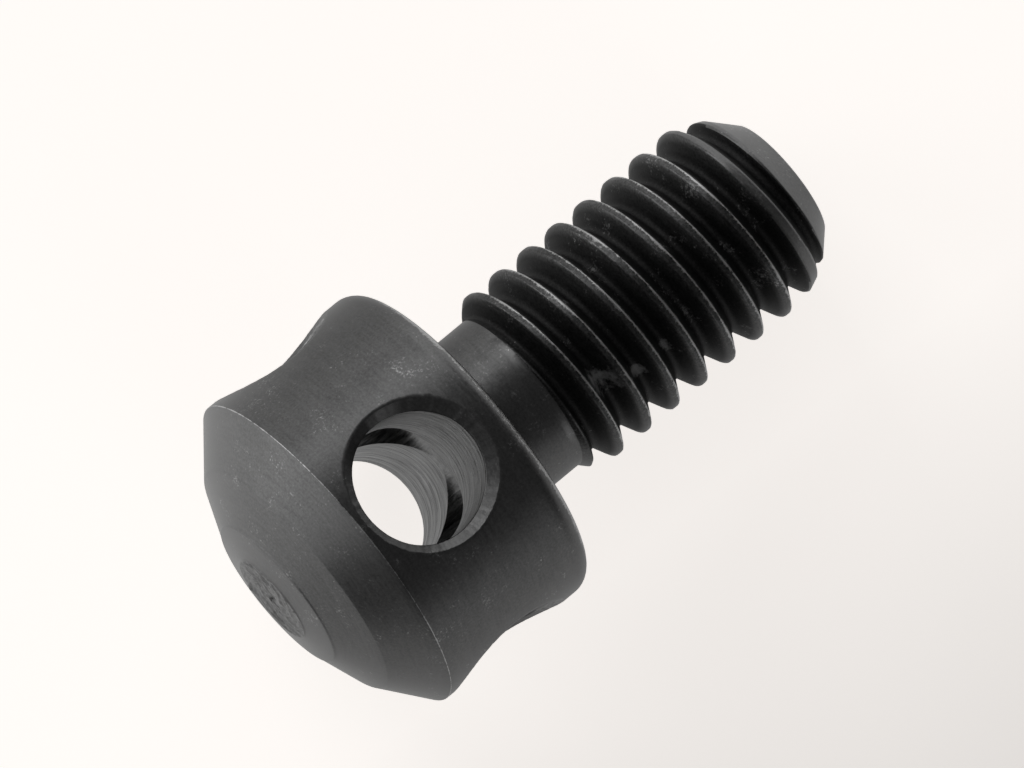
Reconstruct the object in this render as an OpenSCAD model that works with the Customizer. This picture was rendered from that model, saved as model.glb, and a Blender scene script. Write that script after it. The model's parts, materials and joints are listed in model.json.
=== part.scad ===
// Adjusting screw: a short right-hand screw with a domed barrel head.
// Two through holes cross in the head and take a bar that turns the screw.
// It is turned from one bar of steel. It lies on its head's edge and its
// thread's tip, as such a screw comes to rest on a bench, with Z = 0 there.
// Sizes are in millimetres. The screw is drawn about its own Z axis first:
// the bearing face under the head is at 0 and the tip points to +Z.

/* [Head] */
// Diameter of the barrel-shaped head
head_d = 10; // [9:0.1:12]
// Length of the head's straight side, from the bearing face to the crown's rim
head_l = 5.1; // [5:0.1:7]
// Radius of the rounded edge round the bearing face
edge_r = 0.55; // [0.2:0.05:0.9]

/* [Crown] */
// Diameter at which the steep outer facet of the crown ends
facet_d = 7.4; // [6:0.1:8]
// Slope of the outer facet, in degrees
facet_slope = 40.5; // [30:0.5:45]
// Diameter of the shallow ring round the middle of the crown
ring_d = 4.58; // [3.6:0.1:5.4]
// Slope of the middle facet, in degrees
middle_slope = 23.3; // [15:0.5:28]
// Diameter of the faced disc at the middle of the crown
disc_d = 2.6; // [1.4:0.1:3.2]
// Slope of the shallow ring, in degrees
ring_slope = 10; // [4:0.5:14]
// Height of the tool mark left at the edge of the ring
ring_step = 0.065; // [0.02:0.005:0.1]
// Height of the tool mark left at the edge of the disc
disc_step = 0.03; // [0.01:0.005:0.06]

/* [Cross holes] */
// Diameter of the two crossed holes through the head
bore_d = 3.6; // [3:0.1:4]
// Distance from the bearing face to the axes of the holes
bore_back = 2.93; // [2.6:0.01:3]
// Width of the broken edge round each mouth
break_w = 0.22; // [0.1:0.02:0.3]
// Width to which it narrows at the two sides of the side hole's mouths
side_hole_w = 0.08; // [0.04:0.02:0.3]
// Depth of the broken edge, measured along the hole where the edge is widest
break_depth = 0.3; // [0.15:0.05:0.5]

/* [Neck] */
// Diameter of the plain neck under the head
neck_d = 4.9; // [4.6:0.05:5.2]
// Length of the neck, up to the chamfer on which the thread starts
neck_l = 1.8; // [1.2:0.05:3]

/* [Thread] */
// Distance from one thread crest to the next
pitch = 1; // [0.8:0.1:1.25]
// Diameter over the crests, a little under the nominal 6 mm
thread_d = 5.84; // [5.7:0.02:6]
// Diameter at the bottom of the groove
root_d = 4.7; // [4.6:0.01:4.9]
// Angle between the two flanks of the groove
flank_angle = 60; // [55:1:60]
// How far past the bearing face, within one pitch, a crest crosses the upper hole's line
crest_start = 0.07; // [0:0.01:0.7]

/* [Tip] */
// Length of the shank, from the bearing face to the tip
shank_l = 11; // [8:0.5:20]
// Diameter of the flat end of the tip
tip_d = 3.7; // [3:0.05:4.2]
// Length of the tip's 45 degree chamfer
tip_chamfer_l = 0.7; // [0.4:0.05:1]
// Slope of the lead taper that thins the last crests before that chamfer, in degrees
lead_slope = 16; // [8:1:25]

/* [Rest] */
// How far the lying screw has rolled about its own axis, in degrees
roll = -9.5; // [-45:0.5:45]

/* [Fineness] */
// Number of flat steps in one turn of the thread
turn_steps = 48; // [24:12:60]
// Number of flat steps round the broken edge of each hole
mouth_steps = 48; // [24:12:60]

/* [Hidden] */
$fn = 96;

head_r = head_d / 2;
bore_r = bore_d / 2;
crest_r = thread_d / 2;
root_r = root_d / 2;
tip_r = tip_d / 2;
neck_r = neck_d / 2;
// How far a cutter runs on past what it cuts
clear = 1;

// The crown's outline, from the rim to the middle, as [radius, place on Z]
facet_z = -head_l - (head_r - facet_d / 2) * tan(facet_slope);
middle_z = facet_z - (facet_d - ring_d) / 2 * tan(middle_slope);
ring_z = middle_z - ring_step;
inner_z = ring_z - (ring_d - disc_d) / 2 * tan(ring_slope);
disc_z = inner_z - disc_step;
crown = [
  [head_r, -head_l], [facet_d / 2, facet_z], [ring_d / 2, middle_z], [ring_d / 2, ring_z],
  [disc_d / 2, inner_z], [disc_d / 2, disc_z], [0, disc_z],
];

// One groove of the thread, from one crest to the next, as [place on Z, radius].
// Run on, the flanks would meet deeper than the root by sharp_share of the groove's
// depth. The arc at the root is tangent to both of them.
sharp_share = 0.26;
half_flank = flank_angle / 2;
sharp_depth = (crest_r - root_r) * (1 + sharp_share);
crest_flat = pitch - 2 * sharp_depth * tan(half_flank);
root_arc_r = (sharp_depth - crest_r + root_r) / (1 / sin(half_flank) - 1);
root_arc_z = crest_r - sharp_depth + root_arc_r / sin(half_flank);
root_points = 4;
root_sweep = 90 - half_flank;
groove = concat(
  [[crest_flat / 2, crest_r]],
  [
    for (k = [0:root_points - 1])
      let (a = root_sweep * (2 * k / (root_points - 1) - 1))
      [pitch / 2 + root_arc_r * sin(a), root_arc_z - root_arc_r * cos(a)],
  ],
  [[pitch - crest_flat / 2, crest_r]]
);
groove_points = len(groove);

// Cones that cut the crests, as [place on Z, radius there, rise for each mm along Z]:
// the chamfer at the neck, on which the thread starts, the lead taper and the tip's chamfer
cones = [
  [neck_l, neck_r, 1],
  [shank_l - tip_chamfer_l, tip_r + tip_chamfer_l, -tan(lead_slope)],
  [shank_l, tip_r, -1],
];
function cone_r(c, z) = c[1] + (z - c[0]) * c[2];
function cut_r(z) = min([for (c = cones) cone_r(c, z)]);

// Slides a crest's edge down its flank, to where the deepest cone cuts it
function cut_back(edge, foot) =
  let (
    run = foot - edge,
    shares = [
      for (c = cones)
        if (cone_r(c, edge[0]) < edge[1]) (cone_r(c, edge[0]) - edge[1]) / (run[1] - c[2] * run[0]),
    ],
    p = edge + run * min(1, max(concat([0], shares)))
  ) [p[0], min(p[1], cut_r(p[0]))];

// One point of the groove, moved along Z by base
function groove_point(base, j) =
  let (p = groove[j] + [base, 0])
  j == 0 ? cut_back(p, groove[1] + [base, 0])
  : j == groove_points - 1 ? cut_back(p, groove[groove_points - 2] + [base, 0])
  : [p[0], min(p[1], cut_r(p[0]))];

// The thread is a fan of lines from the neck to the tip. Line i lies at its own angle
// round the axis, and its grooves lie further along by the same share of the pitch.
turns = ceil(shank_l / pitch) + 1;
line_points = turns * groove_points;
function line_angle(i) = 360 * (i + 0.5) / turn_steps;
function line_point(i, q) =
  let (turn = floor(q / groove_points) - 1 + line_angle(i) / 360)
  groove_point(crest_start + pitch * turn, q % groove_points);

// How far the thread's own solid reaches back into the neck, and the neck into the thread
thread_lap = 0.4;
neck_lap = 0.1;
thread_start = neck_l - thread_lap;

// The screw lies with its round edge and its lowest thread crest on the bench.
// The crest that lets it dip least is the one that touches.
function lie_angle(p) =
  let (along = p[0] + edge_r, across = p[1] - head_r + edge_r)
  asin(edge_r / norm([along, across])) - atan2(across, along);
tilt = min([
  for (i = [0:turn_steps - 1]) for (q = [0:line_points - 1])
    let (p = line_point(i, q))
    if (p[0] > shank_l / 2 && p[0] < shank_l) lie_angle([p[0], p[1] * cos(line_angle(i) + roll)]),
]);
axis_height = edge_r * (1 - sin(tilt)) + (head_r - edge_r) * cos(tilt);
back_end = min([for (p = crown) p[1] * cos(tilt) - p[0] * sin(tilt)]);
front_end = shank_l * cos(tilt) + tip_r * sin(tilt);

module head_outline() {
  difference() {
    polygon(concat([[0, 0], [head_r, 0]], crown));
    translate([head_r - edge_r, -edge_r]) square(edge_r + clear);
  }
  translate([head_r - edge_r, -edge_r]) circle(edge_r);
}

// What breaks the edge of one mouth, for a hole along X that leaves the head at +X.
// The broken edge narrows to side_w at the two sides of the mouth.
module mouth_break(side_w) {
  n = mouth_steps;
  // How far the cutting surface runs past the broken edge, as a share of its width
  run_on = 0.4;
  function width(a) = break_w * pow(cos(a), 2) + side_w * pow(sin(a), 2);
  function side_x(r, a) = sqrt(head_r * head_r - pow(r * sin(a), 2));
  // Share 0 is at the hole's wall and share 1 is on the head's side
  function rim(share, a) =
    let (r = bore_r + share * width(a))
    [
      side_x(bore_r + width(a), a) + (share - 1) * width(a) * break_depth / break_w,
      r * sin(a), r * cos(a)
    ];
  angles = [for (i = [0:n - 1]) 360 * i / n];
  outer = [for (a = angles) rim(1 + run_on, a)];
  points = concat(
    [for (a = angles) rim(-run_on, a)], outer, [for (p = outer) [head_r + clear, p[1], p[2]]],
    [[rim(0, 90)[0] - clear, 0, 0]]
  );
  polyhedron(points, concat(
    [for (i = [0:n - 1]) [3 * n, (i + 1) % n, i]],
    [
      for (ring = [0, 1]) for (i = [0:n - 1])
        let (a = ring * n + i, b = ring * n + (i + 1) % n)
        each [[a, b + n, a + n], [a, b, b + n]],
    ],
    [[for (i = [0:n - 1]) 2 * n + i]]
  ));
}

module head() {
  difference() {
    // The turning starts at the top, which keeps its seam off the line that the head rests on
    rotate([0, 0, 180]) rotate_extrude() head_outline();
    translate([0, 0, -bore_back]) {
      for (a = [0, 90]) rotate([0, 90, a]) cylinder(r = bore_r, h = head_d + 2 * clear, center = true);
      for (a = [0, 180]) {
        rotate([0, 0, a]) mouth_break(break_w);
        rotate([0, 0, a + 90]) mouth_break(side_hole_w);
      }
    }
  }
}

module neck() {
  translate([0, 0, -clear]) cylinder(r = neck_r, h = clear + neck_l + neck_lap);
}

// The threaded shank is one closed surface of the fan's lines, closed by a ring at each end.
// Points before the start or past the tip give way to the ring's point at the same angle.
module thread() {
  n = turn_steps;
  m = line_points;
  merge = pitch / turn_steps / 2;
  lines = [for (i = [0:n - 1]) [for (q = [0:m - 1]) line_point(i, q)]];
  function around(i, z, r) = [r * cos(line_angle(i)), r * sin(line_angle(i)), z];
  points = concat(
    [for (i = [0:n - 1]) for (p = lines[i]) around(i, p[0], p[1])],
    [for (z = [thread_start, shank_l]) for (i = [0:n - 1]) around(i, z, cut_r(z))]
  );
  function place(i, q) =
    i == n ? place(0, q + groove_points)
    : q < 0 ? n * m + i
    : q >= m ? n * m + n + i
    : lines[i][q][0] < thread_start + merge ? n * m + i
    : lines[i][q][0] > shank_l - merge ? n * m + n + i
    : i * m + q;
  faces = [
    for (i = [0:n - 1]) for (q = [-groove_points:m - 1])
      let (a = place(i, q), b = place(i, q + 1), c = place(i + 1, q + 1), d = place(i + 1, q))
      each [[a, b, c], [a, c, d]],
  ];
  polyhedron(points, concat(
    [for (f = faces) if (f[0] != f[1] && f[1] != f[2] && f[2] != f[0]) f],
    [[for (i = [0:n - 1]) n * m + i]],
    [[for (i = [n - 1:-1:0]) n * m + n + i]]
  ));
}

module adjusting_screw() {
  color([0.2, 0.2, 0.21])
    translate([-(back_end + front_end) / 2, 0, axis_height])
      rotate([0, 90 + tilt, 0]) rotate([0, 0, roll]) {
        head();
        neck();
        thread();
      }
}

adjusting_screw();
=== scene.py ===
# %% [markdown]
# # An adjusting screw in black steel
#
# The object is one piece of steel: a barrel-shaped head with two crossed holes for a
# turning bar, a plain neck, and a right-hand M6 thread that ends in a flat tip. It was
# turned, drilled, threaded and then blackened in a bath. This script dresses the packed
# model of it. The model gives the size and the place, and the script gives the surface.

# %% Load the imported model
import json
import math

import bmesh
import bpy
from mathutils import Matrix, Vector, noise


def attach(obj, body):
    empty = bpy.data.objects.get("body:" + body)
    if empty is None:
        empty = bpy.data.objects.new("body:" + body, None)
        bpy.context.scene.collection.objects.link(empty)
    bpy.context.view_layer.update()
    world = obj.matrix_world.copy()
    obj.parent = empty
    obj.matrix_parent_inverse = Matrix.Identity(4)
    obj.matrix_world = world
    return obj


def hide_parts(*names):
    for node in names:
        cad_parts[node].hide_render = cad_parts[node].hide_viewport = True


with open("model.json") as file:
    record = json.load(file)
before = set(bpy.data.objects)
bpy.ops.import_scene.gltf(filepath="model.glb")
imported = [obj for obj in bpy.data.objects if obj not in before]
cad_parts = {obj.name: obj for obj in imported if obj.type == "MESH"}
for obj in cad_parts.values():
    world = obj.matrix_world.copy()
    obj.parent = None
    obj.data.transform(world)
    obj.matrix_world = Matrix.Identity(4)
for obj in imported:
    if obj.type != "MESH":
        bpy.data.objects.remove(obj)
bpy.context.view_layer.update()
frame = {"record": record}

# %% [markdown]
# The screw lies on its head and its thread, so its axis dips towards the tip. It is far
# easier to draw about an upright axis, and to lay down at the end. The record's mounts
# give that last move: the flat tip says where the axis runs, and the two holes say how
# the screw is turned about it. Everything below is drawn in millimetres in the screw's
# own frame, where the bearing face under the head is at zero and the tip points to +Z.

# %% The screw's own frame
MM = 0.001
SHANK_LENGTH = 11.0

mounts = {mount["name"]: mount for mount in frame["record"]["mounts"]}
axis_z = Vector(mounts["tip_face"]["axis"]).normalized()
axis_y = Vector(mounts["side_cross_hole"]["axis"]).normalized()
axis_x = axis_y.cross(axis_z)
bearing_centre = Vector(mounts["tip_face"]["pos_m"]) - axis_z * SHANK_LENGTH * MM

lay_down = Matrix((axis_x, axis_y, axis_z)).transposed().to_4x4()
lay_down.translation = bearing_centre
print("The axis dips by", round(math.degrees(math.asin(-axis_z.z)), 2), "degrees")

# %% [markdown]
# The photo was taken from almost straight above with a long lens. How the circles of the
# crown flatten says how far the view leans from square, and the thread's pitch gives the
# scale. The camera is placed from those, round the centre of the bearing face, and its
# focal length follows from its distance. A far camera keeps the two ends of the screw
# at the same scale, as the photo does.

# %% Camera
PICTURE_WIDTH, PICTURE_HEIGHT = 1024, 768
CAMERA_DISTANCE = 600.0
PIXELS_PER_MM = 37.5215
LEAN = math.radians(13.5528)
TURN = math.radians(39.5545)
BEARING_PIXEL = (470.79, 434.60)

towards_camera = Vector((-math.cos(LEAN), 0, -math.sin(LEAN)))
along = Vector((-math.sin(LEAN), 0, math.cos(LEAN)))
across = Vector((0, 1, 0))
right = along * math.cos(TURN) - across * math.sin(TURN)
up = along * math.sin(TURN) + across * math.cos(TURN)
eye = (
    towards_camera * CAMERA_DISTANCE
    - right * (BEARING_PIXEL[0] - PICTURE_WIDTH / 2) / PIXELS_PER_MM
    + up * (BEARING_PIXEL[1] - PICTURE_HEIGHT / 2) / PIXELS_PER_MM
)

camera = bpy.data.objects.new("camera", bpy.data.cameras.new("camera"))
bpy.context.scene.collection.objects.link(camera)
camera.data.sensor_width = 36
camera.data.lens = PIXELS_PER_MM * CAMERA_DISTANCE / PICTURE_WIDTH * camera.data.sensor_width
camera.data.clip_start = 0.01
pose = Matrix((right, up, towards_camera)).transposed().to_4x4()
pose.translation = eye * MM
camera.matrix_world = lay_down @ pose
bpy.context.scene.camera = camera
print("Focal length:", round(camera.data.lens), "mm")

# %% [markdown]
# Three small helpers serve every tree of nodes below. One turns a colour as a painter
# writes it, an sRGB hex value, into the linear numbers that Blender works in. One adds a
# node with its settings and links. The last adds a node for each line of a list of sums,
# so that a tree reads as a list. In such a list, SHARE says how far the first number has
# come from the second to the third, as a number from 0 to 1.

# %% Helpers for nodes
def linear(hex_colour):
    """Linear RGBA of an sRGB hex colour."""
    channels = [int(hex_colour[i:i + 2], 16) / 255 for i in (1, 3, 5)]
    return [c / 12.92 if c <= 0.04045 else ((c + 0.055) / 1.055) ** 2.4 for c in channels] + [1.0]


def add_node(tree, kind, inputs=None, **settings):
    """Adds one node. Each input is a plain value, or the output that feeds it."""
    node = tree.nodes.new(kind)
    for name, value in settings.items():
        setattr(node, name, value)
    for key, value in (inputs or {}).items():
        if isinstance(value, bpy.types.NodeSocket):
            tree.links.new(value, node.inputs[key])
        else:
            node.inputs[key].default_value = value
    return node


def work_out(tree, values, sums):
    """Adds a node for each sum. A sum may use the names of values and of earlier sums."""
    for name, operation, *terms in sums:
        feeds = {i: values[t] if isinstance(t, str) else t for i, t in enumerate(terms)}
        if operation == "SHARE":
            values[name] = add_node(tree, "ShaderNodeMapRange", feeds).outputs[0]
        else:
            values[name] = add_node(tree, "ShaderNodeMath", feeds, operation=operation).outputs[0]
    return values


print("White is", linear("#ffffff")[:3])

# %% [markdown]
# The steel is turned and drilled, then blackened: a hot bath turns its skin to black iron
# oxide. The skin is a few thousandths of a millimetre thick, so every tool mark shows
# through it. Under a soft light it is a dark satin metal with a fine grain. It is greyer
# where the drill tore it, and bare on the sharpest edges, where handling has rubbed the skin
# off. Deep in the thread's grooves its colour is darkened as painted shade, and oil there
# makes the skin rougher.
#
# A tool leaves lines along its path. Noise in four dimensions draws them: its fourth
# number is how far the tool had moved when it cut this place, and the other three are the
# place itself, made small, so that a line changes only slowly on its way round. A picture
# of scratches could be wrapped round the screw instead, but it would stretch on the crown
# and repeat, and noise does neither.

# %% Lay a pattern on the screw in millimetres
LINE_STRETCH = 0.12


def screw_place(tree):
    """Values for each point of the screw: place and radius, in the screw's own frame."""
    upright = lay_down.inverted()
    where = add_node(tree, "ShaderNodeTexCoord").outputs["Object"]
    mapped = add_node(tree, "ShaderNodeMapping", {
        "Vector": where,
        "Scale": (1 / MM,) * 3,
        "Rotation": upright.to_euler(),
        "Location": upright.translation / MM,
    }).outputs[0]
    drawn_out = add_node(tree, "ShaderNodeMapping", {
        "Vector": mapped, "Scale": (LINE_STRETCH,) * 3,
    }).outputs[0]
    xyz = add_node(tree, "ShaderNodeSeparateXYZ", {0: mapped}).outputs
    return work_out(tree, {
        "place": mapped, "drawn out": drawn_out, "x": xyz[0], "y": xyz[1], "z": xyz[2],
    }, [
        ("x squared", "POWER", "x", 2.0),
        ("radius squared", "MULTIPLY_ADD", "y", "y", "x squared"),
        ("radius", "SQRT", "radius squared"),
    ])


print("A tool line keeps its tone for", round(1 / LINE_STRETCH), "times its width")

# %% [markdown]
# Each steel has its own list of marks. A list says how far the tool had travelled, how much
# each place has been rubbed, and how much painted shade and oil lie on it. The lathe's tool
# ran along the outline, so radius and place both measure its way. A drill leaves arcs round
# each hole, so its way is along the hole's own axis. On the thread, radius alone grows along
# a flank, so the lines run along the thread.

# %% Where each tool went, and what has been rubbed since
# Edges that hands and spanners reach: radius, place on the axis and width of the bare line
HANDLED_EDGES = ((5.0, -5.1, 0.025), (4.78, -0.1, 0.2), (1.85, 11.0, 0.03))
RADIUS_SHARE = 0.7
LEAST_OIL = 0.1

turned_marks = [("travel", "MULTIPLY_ADD", "radius", RADIUS_SHARE, "z")]
for radius, z, width in HANDLED_EDGES:
    turned_marks += [
        ("out", "SUBTRACT", "radius", radius),
        ("on", "SUBTRACT", "z", z),
        ("on squared", "POWER", "on", 2.0),
        ("off squared", "MULTIPLY_ADD", "out", "out", "on squared"),
        ("off", "SQRT", "off squared"),
        ("at edge", "SHARE", "off", width, 0.0),
        ("rubbed", "MAXIMUM", "rubbed", "at edge"),
    ]
drilled_marks = [
    ("across x", "ABSOLUTE", "x"),
    ("across y", "ABSOLUTE", "y"),
    ("travel", "MAXIMUM", "across x", "across y"),
]
# On the thread the stored groove mark paints shade deep in each groove, and a little oil lies
# everywhere
threaded_marks = [
    ("travel", "MAXIMUM", "radius", 0.0),
    ("rubbed", "MAXIMUM", "worn", 0.0),
    ("oil_and_shade", "MAXIMUM", "groove_shade_and_residue", LEAST_OIL),
]
print("Edges rubbed bare on the turned faces:", len(HANDLED_EDGES))

# %% [markdown]
# Three noises are enough for a skin: the tool's lines, a fine grain from the bath, and
# broad patches. Dried oil has also left a few pale smudges in the grooves. Each smudge is
# full in the middle of a ball and fades out towards its edge. A painted mask could have any
# outline, but a ball needs only a place and a reach, and the patches give it its outline.

# %% Noises and smudges
# In millimetres. The bath's own grain is about 0.01 mm, too fine to show at the size of the
# render, so it is drawn as coarse as it needs to show
GRAIN_SIZE, PATCH_SIZE = 0.07, 0.8
# Dried oil in the grooves: middle and reach of each smudge, in the screw's own frame
SMUDGES = (((-2.4, -1.1, 3.22), 0.7), ((-1.87, -1.5, 4.21), 0.35), ((-1.9, -1.4, 5.2), 0.3))
SMUDGE_CORE = 0.3


def add_patterns(tree, values, line_size):
    """Adds the three noises, and how deep each point lies in a smudge of dried oil."""
    for pattern, place, way, size in (
        ("line", "drawn out", values["travel"], line_size),
        ("grain", "place", 0.0, GRAIN_SIZE), ("patch", "place", 0.0, PATCH_SIZE),
    ):
        values[pattern] = add_node(tree, "ShaderNodeTexNoise", {
            "Vector": values[place], "W": way, "Scale": 1 / size, "Detail": 3.0, "Roughness": 0.7,
        }, noise_dimensions="4D").outputs["Fac"]
    for middle, reach in SMUDGES:
        values["away"] = add_node(tree, "ShaderNodeVectorMath", {
            0: values["place"], 1: middle,
        }, operation="DISTANCE").outputs["Value"]
        work_out(tree, values, [
            ("near", "SHARE", "away", reach, SMUDGE_CORE * reach),
            ("smudge", "MAXIMUM", "smudge", "near"),
        ])


print("Smudges of dried oil:", len(SMUDGES))

# %% [markdown]
# The patterns then have to become one skin. The same sums feed colour, roughness and
# height, because on real steel one scratch changes all three. Three separate sets would be
# easier to tune, but a scratch that shines where nothing is cut looks painted on. The bare
# edges are ragged because the rubbing is added to the grain and the patches before the
# result is cut off, and the dried oil is cut off in the same way.

# %% How the patterns add up to a skin
PATCH_SHARE = 0.15
# How much grain and patches make the rubbed edges ragged
EDGE_RAGGEDNESS = 2.0
# Where each mark starts to show and where it is full, as a sum of noises
BARE, SPECK, CRUST = (2.35, 2.8), (0.73, 0.77), (0.82, 1.05)
# How much each mark adds to the crust, to the colour, to the roughness and to the height
GRAIN_IN_CRUST, SMUDGE_IN_CRUST = 0.4, 0.25
CRUST_BRIGHTNESS, SHADE_AND_OIL_COVER = 0.8, 0.65
LEAST_ROUGH, ROUGH_BY_TONE, ROUGH_BY_OIL, ROUGH_BY_CRUST = 0.2, 0.35, 0.25, 0.3
GRAIN_HEIGHT = 0.5


def skin_sums(line_share, line_depth):
    """Sums for the tone, the bright marks, the painted shade with oil, the roughness and the
    height.
    """
    return [
        ("tone 1", "MULTIPLY", "line", line_share),
        ("tone 2", "MULTIPLY_ADD", "grain", 1 - PATCH_SHARE - line_share, "tone 1"),
        ("tone", "MULTIPLY_ADD", "patch", PATCH_SHARE, "tone 2"),
        ("ragged 1", "MULTIPLY_ADD", "grain", EDGE_RAGGEDNESS, "rubbed"),
        ("ragged", "MULTIPLY_ADD", "patch", EDGE_RAGGEDNESS, "ragged 1"),
        ("bare", "SHARE", "ragged", *BARE),
        ("speck", "SHARE", "grain", *SPECK),
        ("bare or speck", "MAXIMUM", "bare", "speck"),
        ("crust 1", "MULTIPLY_ADD", "grain", GRAIN_IN_CRUST, "patch"),
        ("crust 2", "MULTIPLY_ADD", "smudge", SMUDGE_IN_CRUST, "crust 1"),
        ("crust 3", "SHARE", "crust 2", *CRUST),
        ("crust", "MULTIPLY", "crust 3", "groove_shade_and_residue"),
        ("pale crust", "MULTIPLY", "crust", CRUST_BRIGHTNESS),
        ("bright", "MAXIMUM", "bare or speck", "pale crust"),
        # Painted shade deep in the grooves, with oil, darkens the colour
        ("shade_and_oil_amount", "MULTIPLY", "oil_and_shade", SHADE_AND_OIL_COVER),
        ("rough 1", "MULTIPLY_ADD", "tone", ROUGH_BY_TONE, LEAST_ROUGH),
        ("rough 2", "MULTIPLY_ADD", "oil_and_shade", ROUGH_BY_OIL, "rough 1"),
        ("rough", "MULTIPLY_ADD", "crust", ROUGH_BY_CRUST, "rough 2"),
        ("height 1", "MULTIPLY", "line", line_depth),
        ("height", "MULTIPLY_ADD", "grain", GRAIN_HEIGHT, "height 1"),
    ]


print("Roughness of clean skin:", LEAST_ROUGH, "to", LEAST_ROUGH + ROUGH_BY_TONE)

# %% [markdown]
# Blackened steel is still a metal. Black paint under a gloss would show each lamp as a
# white spot. A metal of a dark colour mirrors the same lamps in grey, as the photo shows
# them. So the skin is fully metallic, and the painted shade of the grooves and the bare
# steel are only other colours of metal, mixed in where their marks are.

# %% Black oxide on steel
# The first colour is the painted shade deep in the thread's grooves, with oil; the second is bare
# steel
SHADE_AND_OIL_COLOUR, BARE_COLOUR = "#141414", "#b0b0b0"
TONE_RANGE = (0.35, 0.65)
MARK_DEPTH = 0.004


def black_oxide(name, marks, dark, light, line_size, line_share, line_depth):
    """Blackened steel whose lines follow the tool that cut it."""
    material = bpy.data.materials.new(name)
    material.use_nodes = True
    tree = material.node_tree
    shader = tree.nodes["Principled BSDF"]
    values = screw_place(tree)
    values |= {"rubbed": 0.0, "oil_and_shade": 0.0, "smudge": 0.0}
    for mark in ("worn", "groove_shade_and_residue"):
        values[mark] = add_node(tree, "ShaderNodeAttribute", attribute_name=mark).outputs["Fac"]
    work_out(tree, values, marks)
    add_patterns(tree, values, line_size)
    work_out(tree, values, skin_sums(line_share, line_depth))
    skin = add_node(tree, "ShaderNodeValToRGB", {"Fac": values["tone"]})
    for stop, position, colour in zip(skin.color_ramp.elements, TONE_RANGE, (dark, light)):
        stop.position = position
        stop.color = linear(colour)
    # Mixes in the painted shade of the grooves
    skin_with_shade_and_oil = add_node(tree, "ShaderNodeMix", {
        0: values["shade_and_oil_amount"], 6: skin.outputs[0], 7: linear(SHADE_AND_OIL_COLOUR),
    }, data_type="RGBA").outputs[2]
    rubbed = add_node(tree, "ShaderNodeMix", {
        0: values["bright"], 6: skin_with_shade_and_oil, 7: linear(BARE_COLOUR),
    }, data_type="RGBA").outputs[2]
    bump = add_node(tree, "ShaderNodeBump", {
        "Height": values["height"], "Strength": 1.0, "Distance": MARK_DEPTH * MM,
    })
    tree.links.new(rubbed, shader.inputs["Base Color"])
    tree.links.new(values["rough"], shader.inputs["Roughness"])
    tree.links.new(bump.outputs[0], shader.inputs["Normal"])
    shader.inputs["Metallic"].default_value = 1.0
    return material


# Name, marks, dark and light tone, then size, share and depth of the tool's lines. Real ones
# are about 0.05 mm apart, too fine to show, so these are drawn two to four times as coarse
steels = [
    black_oxide("black_oxide_turned", turned_marks, "#565656", "#707070", 0.11, 0.3, 0.3),
    black_oxide("black_oxide_drilled", drilled_marks, "#101010", "#aeaeae", 0.2, 0.8, 15.0),
    black_oxide("black_oxide_threaded", threaded_marks, "#303030", "#6c6c6c", 0.11, 0.2, 1.0),
]
TURNED, DRILLED, THREADED = range(3)
print("Materials:", [steel.name for steel in steels])

# %% [markdown]
# The shank is one rule repeated: a groove that runs round while it climbs. A profile swept
# along a helix is the usual way, but its turns overlap at the root and leave stray faces
# inside. Geometry Nodes can state the rule itself. A flat grid has a row for each step
# round the axis and a column for each point of the outline, and each point is moved to its
# own angle, place and radius. A row that has gone once round lies one pitch further on,
# where it meets the first row again, and merging the two closes the shank.

# %% Sizes of the shank, in millimetres
# Sharp share: how far below the root two straight flanks would meet, as a share of the depth
# Crest start: the place on the axis of a crest at angle zero, less whole pitches
SHANK_SIZES = {
    "Pitch": 1.0,
    "Crest radius": 2.92,
    "Root radius": 2.35,
    "Sharp share": 0.26,
    "Half flank": math.radians(30),
    "Crest start": 0.07,
    "Neck radius": 2.45,
    "Neck length": 1.8,
    "Shank length": SHANK_LENGTH,
    "Tip radius": 1.85,
    "Tip chamfer": 0.7,
    "Lead slope": math.radians(23),
    "Edge rounding": 0.018,
    "Crest rounding": 0.05,
    "Raggedness": 0.045,
    "Seed": 3.0,
}
STEPS_ROUND = 192
POINTS_PER_PITCH = 26
CREST_BUNCHING = 0.4
NECK_POINTS = 12
TIP_POINTS = 8
print("A grid of", STEPS_ROUND, "rows, with", POINTS_PER_PITCH, "columns to a pitch")

# %% The shank's tree
shank_tree = bpy.data.node_groups.new("threaded_shank", "GeometryNodeTree")
for name, size in SHANK_SIZES.items():
    socket = shank_tree.interface.new_socket(name, in_out="INPUT", socket_type="NodeSocketFloat")
    socket.default_value = size
shank_tree.interface.new_socket("Material", in_out="INPUT", socket_type="NodeSocketMaterial")
shank_tree.interface.new_socket("Shank", in_out="OUTPUT", socket_type="NodeSocketGeometry")
given = add_node(shank_tree, "NodeGroupInput").outputs
values = {name: given[name] for name in SHANK_SIZES}

work_out(shank_tree, values, [
    ("first run", "SUBTRACT", "Neck length", "Crest start"),
    ("first turns", "DIVIDE", "first run", "Pitch"),
    ("first floor", "FLOOR", "first turns"),
    ("first", "SUBTRACT", "first floor", 1.0),
    ("last run", "SUBTRACT", "Shank length", "Crest start"),
    ("last turns", "DIVIDE", "last run", "Pitch"),
    ("last", "CEIL", "last turns"),
    ("turns", "SUBTRACT", "last", "first"),
    ("thread columns", "MULTIPLY_ADD", "turns", float(POINTS_PER_PITCH), float(NECK_POINTS)),
    ("columns", "ADD", "thread columns", float(TIP_POINTS + 1)),
    ("grid length", "SUBTRACT", "columns", 1.0),
])
grid = add_node(shank_tree, "GeometryNodeMeshGrid", {
    "Size X": values["grid length"], "Size Y": float(STEPS_ROUND),
    "Vertices X": values["columns"], "Vertices Y": STEPS_ROUND + 1,
})
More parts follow.
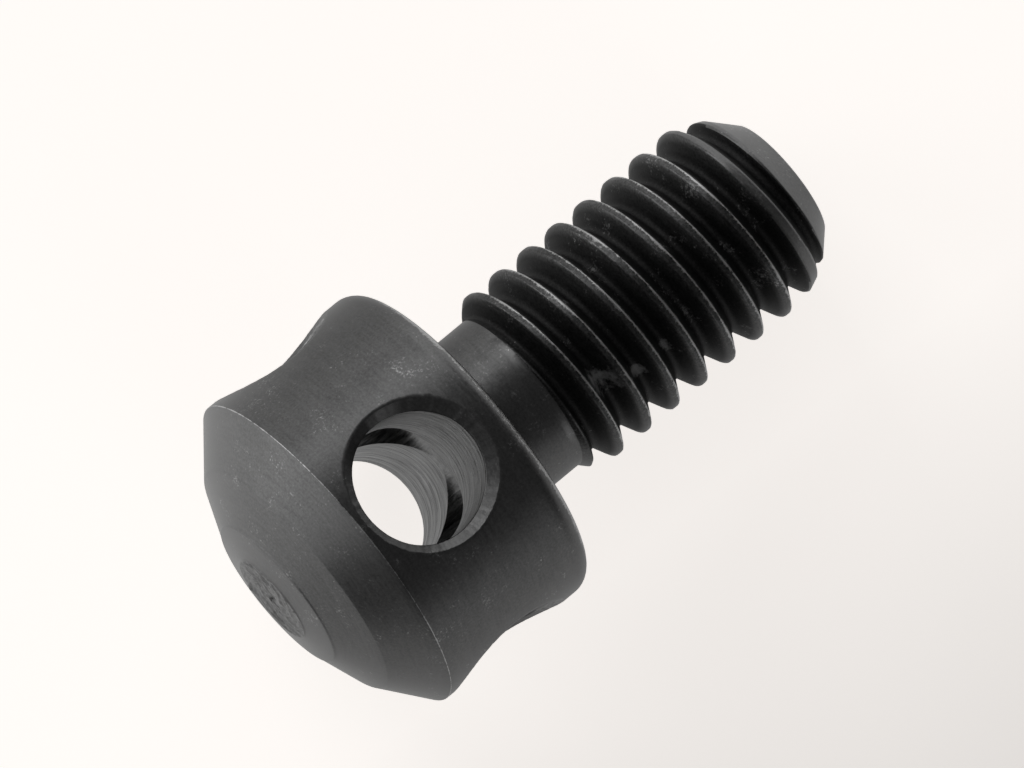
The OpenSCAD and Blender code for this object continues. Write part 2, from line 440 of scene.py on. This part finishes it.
flat = add_node(shank_tree, "ShaderNodeSeparateXYZ", {
    0: add_node(shank_tree, "GeometryNodeInputPosition").outputs[0],
}).outputs
values |= {"flat x": flat[0], "flat y": flat[1]}
print("Inputs of the shank's tree:", ", ".join(SHANK_SIZES))

# %% [markdown]
# A point of the grid first has to learn where it is on the screw. Its row says how far
# round it is, and its column how far along. The columns aren't evenly spaced. They crowd
# on each crest, where the outline bends most, and are wide apart on the straight flanks.
# Even columns would need two thirds more faces for the same sharpness.

# %% Where each point goes
NECK_EASE = 1.6
work_out(shank_tree, values, [
    # Column and row of this point, and how far round it is
    ("shifted x", "MULTIPLY_ADD", "grid length", 0.5, "flat x"),
    ("column", "ROUND", "shifted x"),
    ("shifted y", "ADD", "flat y", STEPS_ROUND / 2),
    ("row", "ROUND", "shifted y"),
    ("turn", "DIVIDE", "row", float(STEPS_ROUND)),
    ("angle", "MULTIPLY", "turn", math.tau),
    # Place on the axis: closely spaced at the foot of the neck, then closest on each crest
    ("thread column", "SUBTRACT", "column", float(NECK_POINTS)),
    ("even pitches", "DIVIDE", "thread column", float(POINTS_PER_PITCH)),
    ("phase", "MULTIPLY", "even pitches", math.tau),
    ("bunching", "SINE", "phase"),
    ("pitches", "MULTIPLY_ADD", "bunching", -CREST_BUNCHING / math.tau, "even pitches"),
    ("pitches from first", "ADD", "pitches", "first"),
    ("pitches here", "ADD", "pitches from first", "turn"),
    ("thread z", "MULTIPLY_ADD", "pitches here", "Pitch", "Crest start"),
    ("thread z past neck", "MAXIMUM", "thread z", "Neck length"),
    ("thread z kept", "MINIMUM", "thread z past neck", "Shank length"),
    ("neck share", "DIVIDE", "column", float(NECK_POINTS - 1)),
    ("neck share eased", "POWER", "neck share", NECK_EASE),
    ("neck share kept", "MINIMUM", "neck share eased", 1.0),
    ("neck left", "SUBTRACT", "neck share kept", 1.0),
    ("z", "MULTIPLY_ADD", "neck left", "Neck length", "thread z kept"),
    # Distance from the nearest crest, and from the middle of the groove
    ("half pitch", "MULTIPLY", "Pitch", 0.5),
    ("from start", "SUBTRACT", "z", "Crest start"),
    ("turned", "MULTIPLY", "turn", "Pitch"),
    ("unrolled", "SUBTRACT", "from start", "turned"),
    ("from crest", "PINGPONG", "unrolled", "half pitch"),
    ("from middle", "SUBTRACT", "half pitch", "from crest"),
])
print("Numbers known of each point:", len(values))

# %% [markdown]
# A metric thread's groove has two straight flanks, 60 degrees apart, and a round bottom
# that meets both without a corner. The radius of a point follows from its distance to the
# middle of the groove: near the middle it lies on the round, and further out it climbs the
# flank until it meets the crest.

# %% The groove: a round bottom, tangent to two straight flanks
work_out(shank_tree, values, [
    ("depth", "SUBTRACT", "Crest radius", "Root radius"),
    ("sharp part", "MULTIPLY", "depth", "Sharp share"),
    ("flank tangent", "TANGENT", "Half flank"),
    ("flank sine", "SINE", "Half flank"),
    ("flank cosine", "COSINE", "Half flank"),
    ("flank ratio", "DIVIDE", 1.0, "flank sine"),
    ("flank ratio less one", "SUBTRACT", "flank ratio", 1.0),
    ("arc", "DIVIDE", "sharp part", "flank ratio less one"),
    ("arc lift", "DIVIDE", "arc", "flank sine"),
    ("groove foot", "SUBTRACT", "Root radius", "sharp part"),
    ("arc centre", "ADD", "groove foot", "arc lift"),
    ("arc reach", "MULTIPLY", "arc", "flank cosine"),
    ("in arc", "MINIMUM", "from middle", "arc reach"),
    ("in arc squared", "POWER", "in arc", 2.0),
    ("arc squared", "POWER", "arc", 2.0),
    ("arc drop squared", "SUBTRACT", "arc squared", "in arc squared"),
    ("arc drop", "SQRT", "arc drop squared"),
    ("arc radius", "SUBTRACT", "arc centre", "arc drop"),
    ("up the flank", "SUBTRACT", "from middle", "in arc"),
    ("flank rise", "DIVIDE", "up the flank", "flank tangent"),
    ("groove radius", "ADD", "arc radius", "flank rise"),
    ("thread radius", "SMOOTH_MIN", "groove radius", "Crest radius", "Crest rounding"),
])
print("Numbers with those of the groove:", len(values))

# %% [markdown]
# Three cones cut the crests: the chamfer on which the thread starts, the slight taper of
# the last turns, and the chamfer of the tip. Where two surfaces cross, the smaller radius
# is what the lathe leaves, so a cut is only the lesser of two numbers. It is smoothed a
# little, because no real edge is sharp. Cutting the mesh with real cones would leave
# slivers along each crest.

# %% Cones that cut the crests, and the slope on which the groove runs out at the neck
RUN_OUT_SLOPE = 0.35
work_out(shank_tree, values, [
    ("beyond neck", "SUBTRACT", "z", "Neck length"),
    ("past neck", "MAXIMUM", "beyond neck", 0.0),
    ("neck cone", "ADD", "Neck radius", "past neck"),
    ("cut 1", "SMOOTH_MIN", "thread radius", "neck cone", "Edge rounding"),
    ("to end", "SUBTRACT", "Shank length", "z"),
    ("tip cone", "ADD", "Tip radius", "to end"),
    ("lead rise", "TANGENT", "Lead slope"),
    ("lead run", "SUBTRACT", "to end", "Tip chamfer"),
    ("lead foot", "ADD", "Tip radius", "Tip chamfer"),
    ("lead cone", "MULTIPLY_ADD", "lead run", "lead rise", "lead foot"),
    ("cut 2", "SMOOTH_MIN", "cut 1", "lead cone", "Crest rounding"),
    ("cut 3", "SMOOTH_MIN", "cut 2", "tip cone", "Edge rounding"),
    ("run-out drop", "MULTIPLY", "past neck", RUN_OUT_SLOPE),
    ("run-out", "SUBTRACT", "Neck radius", "run-out drop"),
    ("shank radius", "MAXIMUM", "cut 3", "run-out"),
    # The flat tip draws in to the axis
    ("tip column", "SUBTRACT", "column", "thread columns"),
    ("tip share", "DIVIDE", "tip column", float(TIP_POINTS)),
    ("tip share kept", "MAXIMUM", "tip share", 0.0),
    ("tip share squared", "POWER", "tip share kept", 2.0),
    ("tip left", "SUBTRACT", 1.0, "tip share squared"),
    ("smooth radius", "MULTIPLY", "shank radius", "tip left"),
    ("cosine", "COSINE", "angle"),
    ("sine", "SINE", "angle"),
    ("smooth x", "MULTIPLY", "smooth radius", "cosine"),
    ("smooth y", "MULTIPLY", "smooth radius", "sine"),
])
print("Numbers in the thread's whole rule:", len(values))

# %% [markdown]
# A cut thread is never quite clean. The tool tears its crests a little, and use rubs the
# side of each crest that meets the nut's thread first. That bright ragged line is what the
# eye reads as a thread. So each point near a crest is moved in or out by a few hundredths
# of a millimetre, and two numbers are stored on every point for the material: how worn it
# is, and how deep it lies in the groove, where the material paints shade, adds oil and lays
# pale residue.

# %% Torn crests, worn corners, and painted shade in the grooves
# The noise that tears the crests: how many bumps to the millimetre, and the value that
# leaves a point where it is
TEAR_SCALE, TEAR_MIDDLE = 2.6, 0.6
# Depths below the crest and places beside it where each mark fades in, in millimetres
CREST_DEPTHS, GROOVE_SHADE_DEPTHS = (0.16, 0.02), (0.0, 0.2)
CORNER_PLACE, CORNER_REACH = 0.1, (0.1, 0.01)
GROOVE_GAPS = (0.05, 0.01)

smooth_place = add_node(shank_tree, "ShaderNodeCombineXYZ", {
    0: values["smooth x"], 1: values["smooth y"], 2: values["z"],
}).outputs[0]
tear = add_node(shank_tree, "ShaderNodeTexNoise", {
    "Vector": smooth_place, "W": values["Seed"], "Scale": TEAR_SCALE,
    "Detail": 4.0, "Roughness": 0.7,
}, noise_dimensions="4D").outputs[0]
values |= {"tear": tear}
work_out(shank_tree, values, [
    ("below crest", "SUBTRACT", "Crest radius", "smooth radius"),
    ("crest share", "SHARE", "below crest", *CREST_DEPTHS),
    ("tear centred", "SUBTRACT", "tear", TEAR_MIDDLE),
    ("tear size", "MULTIPLY", "tear centred", "Raggedness"),
    ("tear here", "MULTIPLY", "tear size", "crest share"),
    ("torn radius", "ADD", "smooth radius", "tear here"),
    ("torn x", "MULTIPLY", "torn radius", "cosine"),
    ("torn y", "MULTIPLY", "torn radius", "sine"),
    # The corner of the crest that faces the tip is the worn one
    ("half pitch back", "MULTIPLY", "half pitch", -1.0),
    ("beside crest", "WRAP", "unrolled", "half pitch", "half pitch back"),
    ("beside corner", "SUBTRACT", "beside crest", CORNER_PLACE),
    ("off corner", "ABSOLUTE", "beside corner"),
    ("corner", "SHARE", "off corner", *CORNER_REACH),
    ("worn", "MULTIPLY", "corner", "crest share"),
    # Painted shade, oil and pale residue lie deep in the groove, and none on the neck and the
    # cones
    ("depth here", "SHARE", "below crest", *GROOVE_SHADE_DEPTHS),
    ("above skin", "SUBTRACT", "groove radius", "shank radius"),
    ("in groove", "SHARE", "above skin", *GROOVE_GAPS),
    ("groove_shade_and_residue", "MULTIPLY", "depth here", "in groove"),
])
torn_place = add_node(shank_tree, "ShaderNodeCombineXYZ", {
    0: values["torn x"], 1: values["torn y"], 2: values["z"],
}).outputs[0]
marked = grid.outputs["Mesh"]
for mark in ("worn", "groove_shade_and_residue"):
    marked = add_node(shank_tree, "GeometryNodeStoreNamedAttribute", {
        "Geometry": marked, "Name": mark, "Value": values[mark],
    }, data_type="FLOAT", domain="POINT").outputs[0]
print("Marks stored on the shank: worn and soiled")

# %% [markdown]
# The tree ends by moving the points, merging the two rows that meet and giving the shank
# its steel. The result is then taken as a plain mesh and the tree's object is removed,
# because the head has to be joined to these very points.

# %% The finished shank
MERGE_REACH = 0.002

rolled = add_node(shank_tree, "GeometryNodeSetPosition", {
    "Geometry": marked, "Position": torn_place,
}).outputs[0]
closed = add_node(shank_tree, "GeometryNodeMergeByDistance", {
    "Geometry": rolled, "Distance": MERGE_REACH,
}).outputs[0]
smooth = add_node(shank_tree, "GeometryNodeSetShadeSmooth", {"Geometry": closed}).outputs[0]
real = add_node(shank_tree, "GeometryNodeRealizeInstances", {"Geometry": smooth}).outputs[0]
dressed = add_node(shank_tree, "GeometryNodeSetMaterial", {
    "Geometry": real, "Material": given["Material"],
}).outputs[0]
add_node(shank_tree, "NodeGroupOutput", {0: dressed})
print("Nodes in the shank's tree:", len(shank_tree.nodes))

# %% A plain mesh of the shank
shank_base = bpy.data.objects.new("shank_base", bpy.data.meshes.new("shank_base"))
bpy.context.scene.collection.objects.link(shank_base)
maker = shank_base.modifiers.new("threaded_shank", "NODES")
maker.node_group = shank_tree
sockets = {s.name: s.identifier for s in shank_tree.interface.items_tree if s.in_out == "INPUT"}
for name, size in SHANK_SIZES.items():
    maker[sockets[name]] = size
maker[sockets["Material"]] = steels[THREADED]
shank_base.update_tag()
seen = bpy.context.evaluated_depsgraph_get()
shank_mesh = bpy.data.meshes.new_from_object(shank_base.evaluated_get(seen))
bpy.data.objects.remove(shank_base)
print("Shank:", len(shank_mesh.vertices), "points,", len(shank_mesh.polygons), "faces")

# %% [markdown]
# The head is a turned barrel with two drilled holes that cross inside it. A boolean cut
# would leave long thin faces round the holes, and they shade badly. So the surface is laid
# out in four equal quarters, one for each mouth. In each quarter, rings of points grow from
# the mouth of the hole to the edge of the quarter. Inside, each hole's wall runs in until it
# meets the next one, halfway between them.

# %% Sizes of the head, in millimetres
HEAD_RADIUS = 5.0
HEAD_LENGTH = 5.1
EDGE_RADIUS = 0.55
RIM_ROUNDING = 0.03
BORE_RADIUS = 1.8
BORE_BACK = 2.93
BREAK_SLOPE = 0.67
NECK_RADIUS = SHANK_SIZES["Neck radius"]

FACET_RADIUS, FACET_SLOPE = 3.7, math.radians(40.5)
RING_RADIUS, MIDDLE_SLOPE = 2.29, math.radians(23.3)
DISC_RADIUS, RING_SLOPE = 1.3, math.radians(10)
RING_STEP, DISC_STEP = 0.04, 0.03
STEP_RUN = 0.05

facet_z = -HEAD_LENGTH - (HEAD_RADIUS - FACET_RADIUS) * math.tan(FACET_SLOPE)
middle_z = facet_z - (FACET_RADIUS - RING_RADIUS) * math.tan(MIDDLE_SLOPE)
ring_z = middle_z - RING_STEP
inner_z = ring_z - (RING_RADIUS - DISC_RADIUS) * math.tan(RING_SLOPE)
disc_z = inner_z - DISC_STEP
print("Height of the head:", round(-disc_z, 2), "mm")

# %% Rings of points
head = bmesh.new()
ANGLES = [math.tau * i / STEPS_ROUND for i in range(STEPS_ROUND)]


def join_rings(rings, material_index, turn=0.0):
    """Skins a list of rings of points, each with a point for each of ANGLES."""
    spin = Matrix.Rotation(turn, 3, "Z")
    loops = [[head.verts.new(spin @ Vector(point)) for point in ring] for ring in rings]
    for near, far in zip(loops, loops[1:]):
        for i in range(STEPS_ROUND):
            j = (i + 1) % STEPS_ROUND
            face = head.faces.new((near[i], near[j], far[j], far[i]))
            face.material_index = material_index
            face.smooth = True


def ease_corners(outline, radius, spacing):
    """Rounds an outline's corners and divides its long runs."""
    eased = [Vector(outline[0])]
    for before, corner, after in zip(outline, outline[1:], outline[2:]):
        before, corner, after = Vector(before), Vector(corner), Vector(after)
        cut = min(radius, (before - corner).length / 2, (after - corner).length / 2)
        start = corner + (before - corner).normalized() * cut
        end = corner + (after - corner).normalized() * cut
        for share in (0, 1 / 3, 2 / 3, 1):
            eased.append(start.lerp(corner, share).lerp(corner.lerp(end, share), share))
    eased.append(Vector(outline[-1]))
    points = [eased[0]]
    for a, b in zip(eased, eased[1:]):
        parts = max(1, round((b - a).length / spacing))
        points += [a.lerp(b, k / parts) for k in range(1, parts + 1)]
    return points


def turn_outline(outline):
    """Skins an outline of (radius, place on the axis) turned about the axis."""
    rings = [[(r * math.cos(a), r * math.sin(a), z) for a in ANGLES] for r, z in outline]
    join_rings(rings, TURNED)


print("Points round the head:", STEPS_ROUND)

# %% [markdown]
# The crown was faced at three slopes, and the tool left a small step wherever it changed.
# The edge round the bearing face is rounded, so that it doesn't cut the part it presses on.
# A turned face is fully given by its outline, so each is an outline swept round the axis.
# Its corners are eased by a few hundredths of a millimetre: that thin round catches the
# light, and a perfectly sharp corner never does.

# %% Crown, rounded edge and bearing face
CROWN_SPACING = 0.25
BEARING_RADII = (4.3, 3.9, 3.4, 2.9, 2.6, 2.5, NECK_RADIUS)

crown = [
    (HEAD_RADIUS, -HEAD_LENGTH + RIM_ROUNDING), (HEAD_RADIUS, -HEAD_LENGTH),
    (FACET_RADIUS, facet_z), (RING_RADIUS + STEP_RUN, middle_z), (RING_RADIUS, ring_z),
    (DISC_RADIUS + STEP_RUN, inner_z), (DISC_RADIUS, disc_z),
]
turn_outline(ease_corners(crown, RIM_ROUNDING, CROWN_SPACING))

edge_angles = [math.radians(a) for a in range(0, 91, 10)]
bearing = [
    (HEAD_RADIUS - EDGE_RADIUS * (1 - math.cos(a)), EDGE_RADIUS * (math.sin(a) - 1))
    for a in edge_angles
]
bearing += [(radius, 0) for radius in BEARING_RADII]
turn_outline(bearing)
print("Faces on the crown and under the head:", len(head.faces))

# %% [markdown]
# The last disc of the crown is where the bar was cut off. The tool tore the metal there
# instead of cutting it, so the disc is rough in a swirl round its middle. Its points are
# moved by a little noise, read at a place that turns as it nears the middle.

# %% Torn disc
DISC_RINGS = 26
TORN_DEPTH, TORN_BORDER, TORN_SCALE = 0.05, 0.05, 3.5
SWIRL = 1.6


def torn_point(radius, angle):
    """A point of the torn disc."""
    x, y = radius * math.cos(angle), radius * math.sin(angle)
    swirl = angle + SWIRL * radius
    read_at = Vector((radius * math.cos(swirl), radius * math.sin(swirl), 0)) * TORN_SCALE
    # Fine tears on top of a slow wave
    rough = noise.fractal(read_at, 1.0, 2.0, 4) + 0.5 * noise.noise(read_at * 0.4)
    return x, y, disc_z - TORN_DEPTH * rough * min(1, (DISC_RADIUS - radius) / TORN_BORDER)


join_rings([
    [torn_point(DISC_RADIUS * (1 - i / DISC_RINGS), a) for a in ANGLES]
    for i in range(DISC_RINGS)
] + [[(0, 0, disc_z + TORN_DEPTH) for a in ANGLES]], TURNED)
print("Faces on the crown with its torn disc:", len(head.faces))

# %% [markdown]
# Each mouth's edge was broken with a countersink, by hand: a flat band, wider on the side
# to which the tool leaned. The mouth that shows in the photo leans to the tip. A bevel
# would give the band one width all round, so its points are worked out one by one.

# %% Broken edges of the mouths
# For each mouth: mean width of the broken edge, and how much wider it is towards the tip
MOUTHS = ((0.2, 0.0), (0.15, 0.03), (0.29, 0.09), (0.15, 0.03))
# Size of each unevenness of the edge, and how many go round a mouth
UNEVEN = ((0.015, 9), (0.02, 25))


def mouth_width(a, mouth):
    """Width of the broken edge at one place round a mouth."""
    mean, lean = MOUTHS[mouth]
    place = Vector((math.cos(a), math.sin(a), mouth))
    ragged = sum(size * noise.noise(place * scale) for size, scale in UNEVEN)
    return mean + lean * math.cos(a) + ragged


def mouth_point(a, share, mouth):
    """A point of the broken edge: share 0 is on the hole's wall, 1 on the head's side."""
    width = mouth_width(a, mouth)
    outer = BORE_RADIUS + width
    side = math.sqrt(HEAD_RADIUS ** 2 - (outer * math.sin(a)) ** 2)
    radius = BORE_RADIUS + share * width
    drop = (1 - share) * width * BREAK_SLOPE
    return side - drop, radius * math.sin(a), radius * math.cos(a) - BORE_BACK


widths = [mouth_width(a, mouth) for mouth in range(len(MOUTHS)) for a in ANGLES]
print("Broken edges:", round(min(widths), 2), "to", round(max(widths), 2), "mm wide")

# %% The side round each mouth
def quarter_edge(a):
    """Where the ring at angle a ends on the edge of its quarter: (angle round the head, z)."""
    low, high = -HEAD_LENGTH + RIM_ROUNDING, -EDGE_RADIUS
    right_angles = math.degrees(a) / 90
    if right_angles <= 0.5 or right_angles >= 3.5:
        return (a if right_angles <= 0.5 else a - math.tau), high
    if right_angles <= 1.5:
        return math.pi / 4, high + (low - high) * (right_angles - 0.5)
    if right_angles <= 2.5:
        return math.pi - a, low
    return -math.pi / 4, low + (high - low) * (right_angles - 2.5)


def side_point(a, share, mouth):
    """A point of the head's side, between the mouth and the edge of its quarter."""
    _, y, z = mouth_point(a, 1, mouth)
    edge_angle, edge_z = quarter_edge(a)
    angle = (1 - share) * math.asin(y / HEAD_RADIUS) + share * edge_angle
    return (HEAD_RADIUS * math.cos(angle), HEAD_RADIUS * math.sin(angle),
            (1 - share) * z + share * edge_z)


print("Height of the straight side:", round(HEAD_LENGTH - EDGE_RADIUS, 2), "mm")

# %% [markdown]
# Inside the head, the wall of a hole is a plain cylinder as far as the place where the next
# hole crosses it. Two equal holes that cross at right angles meet where a point is as far
# out as it is across, so each wall ends on that line and needs no cutting.

# %% Walls of the holes, and the whole head
def wall_point(a, share, mouth):
    """A point of a hole's wall, between the broken edge and where the two holes meet."""
    mouth_x, y, z = mouth_point(a, 0, mouth)
    return mouth_x + share * (abs(y) - mouth_x), y, z


SIDE_SHARES = [0, 0.05, 0.12, 0.22, 0.34, 0.46, 0.58, 0.7, 0.82, 0.92, 1]
BREAK_SHARES = [0, 0.08, 0.3, 0.6, 0.92, 1]
WALL_SHARES = [0, 0.015, 0.06, 0.2, 0.4, 0.6, 0.8, 0.94, 0.99, 1]
for quarter in range(4):
    turn = math.pi / 2 * quarter
    for point, shares, steel in (
        (side_point, SIDE_SHARES, TURNED), (mouth_point, BREAK_SHARES, TURNED),
        (wall_point, WALL_SHARES, DRILLED),
    ):
        rings = [[point(a, share, quarter) for a in ANGLES] for share in shares]
        join_rings(rings, steel, turn)
print("Faces on the head:", len(head.faces))

# %% [markdown]
# The head and the shank meet in the ring at the foot of the neck. Both have a point there
# at the same angles, so merging makes one closed skin. The neck and the two cones at the
# tip take the turned steel, and the rest of the shank the threaded one. The faces are then
# turned outwards, and the whole screw is laid down where the model lies.

# %% Steel for each face of the shank
# The smoothed cuts lie a little inside their cones
TIP_MARGIN, LEAD_MARGIN = 0.02, 0.04
# On the tip's chamfer, radius and place on the axis add up to TIP_SUM
TIP_SUM = SHANK_LENGTH + SHANK_SIZES["Tip radius"] - TIP_MARGIN
# On the lead cone behind it, radius and LEAD_RISE times the place add up to LEAD_SUM
LEAD_RISE = math.tan(SHANK_SIZES["Lead slope"])
TIP_CORNER = SHANK_SIZES["Tip radius"] + SHANK_SIZES["Tip chamfer"]
LEAD_SUM = TIP_CORNER + (SHANK_LENGTH - SHANK_SIZES["Tip chamfer"]) * LEAD_RISE - LEAD_MARGIN

head_faces = len(head.faces)
head.from_mesh(shank_mesh)
head.faces.ensure_lookup_table()
for face in head.faces[head_faces:]:
    centre = face.calc_center_median()
    radius = math.hypot(centre.x, centre.y)
    on_thread = SHANK_SIZES["Neck length"] < centre.z < TIP_SUM - radius
    on_lead = radius > LEAD_SUM - centre.z * LEAD_RISE
    face.material_index = THREADED if on_thread and not on_lead else TURNED
print("Faces with the shank:", len(head.faces))

# %% One closed screw
SLIVER = 0.0005

bmesh.ops.remove_doubles(head, verts=head.verts, dist=MERGE_REACH)
bmesh.ops.dissolve_degenerate(head, edges=head.edges, dist=SLIVER)
bmesh.ops.recalc_face_normals(head, faces=head.faces)
open_edges = sum(not edge.is_manifold for edge in head.edges)
triangles = sum(len(face.verts) - 2 for face in head.faces)
volume = head.calc_volume()
print("Screw:", triangles, "triangles,", open_edges, "open edges,", round(volume, 1), "mm3")

# %% Laid down on its body
screw_mesh = bpy.data.meshes.new("screw")
for steel in steels:
    screw_mesh.materials.append(steel)
head.to_mesh(screw_mesh)
head.free()
bpy.data.meshes.remove(shank_mesh)
screw_mesh.transform(lay_down @ Matrix.Scale(MM, 4))
screw = bpy.data.objects.new("screw", screw_mesh)
bpy.context.scene.collection.objects.link(screw)

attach(screw, "root")
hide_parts("adjusting_screw")
print("The screw's materials:", [steel.name for steel in screw.data.materials])

# %% [markdown]
# The screw lies on a plain sheet of matt card. Card has no gloss, so the eye sees a plain
# pale ground. The sheet shows its own paleness to the camera and to the steel, and still
# takes the screw's shadow. What the steel mirrors of it is paler beyond the screw's two
# ends and towards the lamp: a painted pool of light, for the extra light that falls on the
# sheet there. To the camera the sheet's glow fades away from the lamps: painted shade, for
# the light falling off across the sheet. Lamps alone could light the sheet as well, but the
# dark steel would mirror them too, and bright spots would cover its grain. So the sheet
# glows a little by itself.

# %% Pale sheet
# From where to where across the sheet its glow brightens, as painted light, and dims, as painted
# shade, in metres
ENDS_REACH, LIGHT_REACH, FALLOFF_REACH = (0.003, 0.013), (-0.008, 0.01), (-0.006, -0.018)
# How much of white the sheet shows by itself, to the steel and to the camera
MIRRORED_NEAR, MIRRORED_FAR = 0.39, 0.95
SEEN_NEAR, SEEN_FAR = 0.82, 0.57

sheet = bpy.data.materials.new("matt_white_card")
sheet.use_nodes = True
sheet_tree = sheet.node_tree
sheet_shader = sheet_tree.nodes["Principled BSDF"]
sheet_shader.inputs["Base Color"].default_value = linear("#dddbd8")
sheet_shader.inputs["Roughness"].default_value = 0.9
sheet_shader.inputs["Specular IOR Level"].default_value = 0.0
ray = add_node(sheet_tree, "ShaderNodeLightPath").outputs
spot = add_node(sheet_tree, "ShaderNodeSeparateXYZ", {
    0: add_node(sheet_tree, "ShaderNodeTexCoord").outputs["Object"],
}).outputs
sheet_values = work_out(sheet_tree, {
    "camera": ray["Is Camera Ray"], "glossy": ray["Is Glossy Ray"],
    "through": ray["Is Transmission Ray"], "x": spot[0], "y": spot[1],
}, [
    ("from middle", "ABSOLUTE", "x"),
    ("beyond ends", "SHARE", "from middle", *ENDS_REACH),
    ("towards light", "SHARE", "y", *LIGHT_REACH),
    # Painted light: what the steel mirrors of the sheet brightens beyond the ends and towards the
    # lamps
    ("brighter", "MULTIPLY", "beyond ends", "towards light"),
    ("mirrored", "MULTIPLY_ADD", "brighter", MIRRORED_FAR - MIRRORED_NEAR, MIRRORED_NEAR),
    ("not camera", "MAXIMUM", "glossy", "through"),
    ("mirrored glow", "MULTIPLY", "mirrored", "not camera"),
    # Painted shade: to the camera the sheet's glow falls off away from the lamps
    ("painted falloff", "SHARE", "y", *FALLOFF_REACH),
    ("seen", "MULTIPLY_ADD", "painted falloff", SEEN_FAR - SEEN_NEAR, SEEN_NEAR),
    ("glow", "MULTIPLY_ADD", "camera", "seen", "mirrored glow"),
])
glow_colour = add_node(sheet_tree, "ShaderNodeMix", {
    0: ray["Is Camera Ray"], 6: linear("#ffffff"), 7: linear("#fffaf6"),
}, data_type="RGBA").outputs[2]
sheet_tree.links.new(glow_colour, sheet_shader.inputs["Emission Color"])
sheet_tree.links.new(sheet_values["glow"], sheet_shader.inputs["Emission Strength"])
print("The sheet glows to the camera at", SEEN_NEAR, "and further off at", SEEN_FAR)

# %% Floor
FLOOR = 2.0
floor_mesh = bpy.data.meshes.new("floor")
floor_mesh.from_pydata(
    [(-FLOOR, -FLOOR, 0), (FLOOR, -FLOOR, 0), (FLOOR, FLOOR, 0), (-FLOOR, FLOOR, 0)], [],
    [(0, 1, 2, 3)],
)
floor_mesh.materials.append(sheet)
floor = bpy.data.objects.new("floor", floor_mesh)
bpy.context.scene.collection.objects.link(floor)
print("Floor:", 2 * FLOOR, "m square")

# %% [markdown]
# Dark metal shows little but what it mirrors, so the light is what draws it. Wide soft
# lamps stand low beyond one long side of the screw and both its ends, and brighten each
# slope that faces them. The other side has one faint lamp, and its slopes stay darker.

# %% Soft light
world = bpy.context.scene.world or bpy.data.worlds.new("world")
bpy.context.scene.world = world
world.use_nodes = True
background = world.node_tree.nodes["Background"]
background.inputs["Color"].default_value = linear("#ffffff")
background.inputs["Strength"].default_value = 0.085
LAMP_DISTANCE, LAMP_SIZE = 0.5, 0.25


def soft_lamp(name, bearing, height, power):
    """A square lamp that faces the screw. Bearing and height are in degrees."""
    lamp = bpy.data.lights.new(name, "AREA")
    lamp.shape = "SQUARE"
    lamp.size = LAMP_SIZE
    lamp.energy = power
    around, above = math.radians(bearing), math.radians(height)
    place = LAMP_DISTANCE * Vector((
        math.cos(above) * math.cos(around), math.cos(above) * math.sin(around), math.sin(above),
    ))
    holder = bpy.data.objects.new(name, lamp)
    bpy.context.scene.collection.objects.link(holder)
    holder.location = place
    holder.rotation_euler = (-place).to_track_quat("-Z", "Y").to_euler()


# Name, bearing from +X, height above the floor in degrees, and power in watts
for name, bearing, height, power in (
    ("low_window", 135, 12, 0.55),
    ("side_window", 90, 30, 0.45),
    ("tip_window", 55, 14, 0.26),
    ("crown_window", 168, 12, 0.21),
    ("far_wall", 270, 18, 0.18),
):
    soft_lamp(name, bearing, height, power)
bpy.context.scene.view_settings.view_transform = "Standard"
